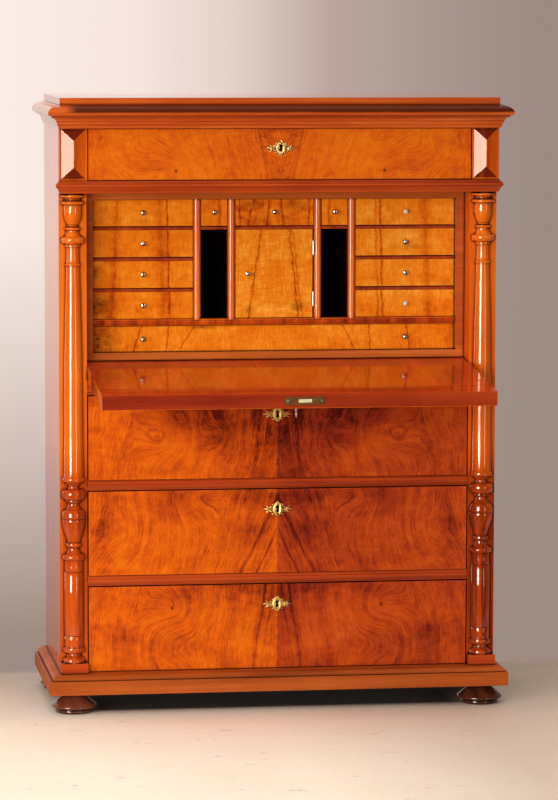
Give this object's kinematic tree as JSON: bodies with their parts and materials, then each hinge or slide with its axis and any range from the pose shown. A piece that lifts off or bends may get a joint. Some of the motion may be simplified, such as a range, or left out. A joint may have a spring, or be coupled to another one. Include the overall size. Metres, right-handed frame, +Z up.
{
  "type": "fall front secretaire",
  "caption": "Upright secretaire with a fall front writing board, fitted nest of small drawers and cupboard, large drawers below, frieze drawer above, half columns and bun feet.",
  "frame": {"origin": "centre of the bounding box of the open piece, on the floor under its feet", "axes": "+X to the right seen from the front, -Y toward the user, +Z up"},
  "size_m": [1.1382, 0.7834, 1.5],
  "materials": {
    "brass": "aged polish",
    "carcass_wood": "plain, matt",
    "dark_walnut": "stained, semi-gloss",
    "figured_walnut": "bookmatched figured veneer, french polish",
    "golden_veneer": "figured veneer, french polish",
    "iron": "filed and worn",
    "ivory": "polished",
    "walnut": "french polish, gloss",
    "white_metal": "turned, worn polish"
  },
  "bodies": {
    "carcass": {"top_board": "walnut", "cornice": "walnut", "side_left": "walnut", "side_right": "walnut", "back_panel": "carcass_wood", "base_board": "walnut", "plinth": "walnut", "foot_front_left": "dark_walnut", "foot_front_right": "dark_walnut", "foot_rear_left": "dark_walnut", "foot_rear_right": "dark_walnut", "column_left": "walnut", "column_right": "walnut", "corner_block_left": "walnut", "corner_block_right": "walnut", "frieze_rail": "walnut", "fall_rail": "walnut", "drawer_rail_lower": "walnut", "drawer_rail_upper": "walnut", "nest_case": "walnut", "nest_dividers": "walnut", "door_hinge_lower": "white_metal", "door_hinge_upper": "white_metal"},
    "fall": {"fall_board": "figured_walnut", "fall_pivot_left": "iron", "fall_pivot_right": "iron", "lock_plate": "brass"},
    "bolt": {"lock_bolt": "iron"},
    "key": {"key": "iron"},
    "frieze_drawer": {"frieze_drawer": "figured_walnut"},
    "large_drawer_top": {"large_drawer_top": "figured_walnut"},
    "large_drawer_middle": {"large_drawer_middle": "figured_walnut"},
    "large_drawer_bottom": {"large_drawer_bottom": "figured_walnut"},
    "left_drawer_1": {"left_drawer_1": "golden_veneer", "left_drawer_1_knob": "white_metal"},
    "left_drawer_2": {"left_drawer_2": "golden_veneer", "left_drawer_2_knob": "white_metal"},
    "left_drawer_3": {"left_drawer_3": "golden_veneer", "left_drawer_3_knob": "white_metal"},
    "left_drawer_4": {"left_drawer_4": "golden_veneer", "left_drawer_4_knob": "white_metal"},
    "right_drawer_1": {"right_drawer_1": "golden_veneer", "right_drawer_1_knob": "ivory"},
    "right_drawer_2": {"right_drawer_2": "golden_veneer", "right_drawer_2_knob": "white_metal"},
    "right_drawer_3": {"right_drawer_3": "golden_veneer", "right_drawer_3_knob": "white_metal"},
    "right_drawer_4": {"right_drawer_4": "golden_veneer", "right_drawer_4_knob": "ivory"},
    "small_drawer_left": {"small_drawer_left": "golden_veneer", "small_drawer_left_knob": "white_metal"},
    "small_drawer_right": {"small_drawer_right": "golden_veneer", "small_drawer_right_knob": "white_metal"},
    "centre_drawer": {"centre_drawer": "golden_veneer", "centre_drawer_knob": "white_metal"},
    "wide_drawer": {"wide_drawer": "golden_veneer", "wide_drawer_knob_left": "white_metal", "wide_drawer_knob_right": "white_metal"},
    "cupboard_door": {"cupboard_door": "golden_veneer", "cupboard_door_knob": "white_metal"}
  },
  "joints": [
    {"name": "fall_hinge", "type": "hinge", "parent": "carcass", "child": "fall", "pos_m": [0, 0.02923, 0.8463], "axis": [1, 0, 0], "range_deg": [-95.6, 0]},
    {"name": "key_turn", "type": "hinge", "parent": "fall", "child": "key", "pos_m": [-0.006, -0.35, 0.78199], "axis": [0, 0.0976, -0.9952], "range_deg": [0, 180]},
    {"name": "bolt_slide", "type": "slide", "parent": "fall", "child": "bolt", "axis": [0, -0.9952, -0.0976], "range_m": [0, 0.01]},
    {"name": "frieze_drawer_slide", "type": "slide", "parent": "carcass", "child": "frieze_drawer", "axis": [0, -1, 0], "range_m": [0, 0.28]},
    {"name": "large_drawer_top_slide", "type": "slide", "parent": "carcass", "child": "large_drawer_top", "axis": [0, -1, 0], "range_m": [0, 0.3]},
    {"name": "large_drawer_middle_slide", "type": "slide", "parent": "carcass", "child": "large_drawer_middle", "axis": [0, -1, 0], "range_m": [0, 0.3]},
    {"name": "large_drawer_bottom_slide", "type": "slide", "parent": "carcass", "child": "large_drawer_bottom", "axis": [0, -1, 0], "range_m": [0, 0.3]},
    {"name": "left_drawer_1_slide", "type": "slide", "parent": "carcass", "child": "left_drawer_1", "axis": [0, -1, 0], "range_m": [0, 0.2]},
    {"name": "left_drawer_2_slide", "type": "slide", "parent": "carcass", "child": "left_drawer_2", "axis": [0, -1, 0], "range_m": [0, 0.2]},
    {"name": "left_drawer_3_slide", "type": "slide", "parent": "carcass", "child": "left_drawer_3", "axis": [0, -1, 0], "range_m": [0, 0.2]},
    {"name": "left_drawer_4_slide", "type": "slide", "parent": "carcass", "child": "left_drawer_4", "axis": [0, -1, 0], "range_m": [0, 0.2]},
    {"name": "right_drawer_1_slide", "type": "slide", "parent": "carcass", "child": "right_drawer_1", "axis": [0, -1, 0], "range_m": [0, 0.2]},
    {"name": "right_drawer_2_slide", "type": "slide", "parent": "carcass", "child": "right_drawer_2", "axis": [0, -1, 0], "range_m": [0, 0.2]},
    {"name": "right_drawer_3_slide", "type": "slide", "parent": "carcass", "child": "right_drawer_3", "axis": [0, -1, 0], "range_m": [0, 0.2]},
    {"name": "right_drawer_4_slide", "type": "slide", "parent": "carcass", "child": "right_drawer_4", "axis": [0, -1, 0], "range_m": [0, 0.2]},
    {"name": "small_drawer_left_slide", "type": "slide", "parent": "carcass", "child": "small_drawer_left", "axis": [0, -1, 0], "range_m": [0, 0.2]},
    {"name": "small_drawer_right_slide", "type": "slide", "parent": "carcass", "child": "small_drawer_right", "axis": [0, -1, 0], "range_m": [0, 0.2]},
    {"name": "centre_drawer_slide", "type": "slide", "parent": "carcass", "child": "centre_drawer", "axis": [0, -1, 0], "range_m": [0, 0.2]},
    {"name": "wide_drawer_slide", "type": "slide", "parent": "carcass", "child": "wide_drawer", "axis": [0, -1, 0], "range_m": [0, 0.2]},
    {"name": "door_hinge", "type": "hinge", "parent": "carcass", "child": "cupboard_door", "pos_m": [0.0961, 0.05913, 1.05607], "axis": [0, 0, 1], "range_deg": [0, 100]}
  ],
  "couplings": [
    {"joint": "key_turn", "follows": "bolt_slide", "rad_per_m": 314}
  ]
}
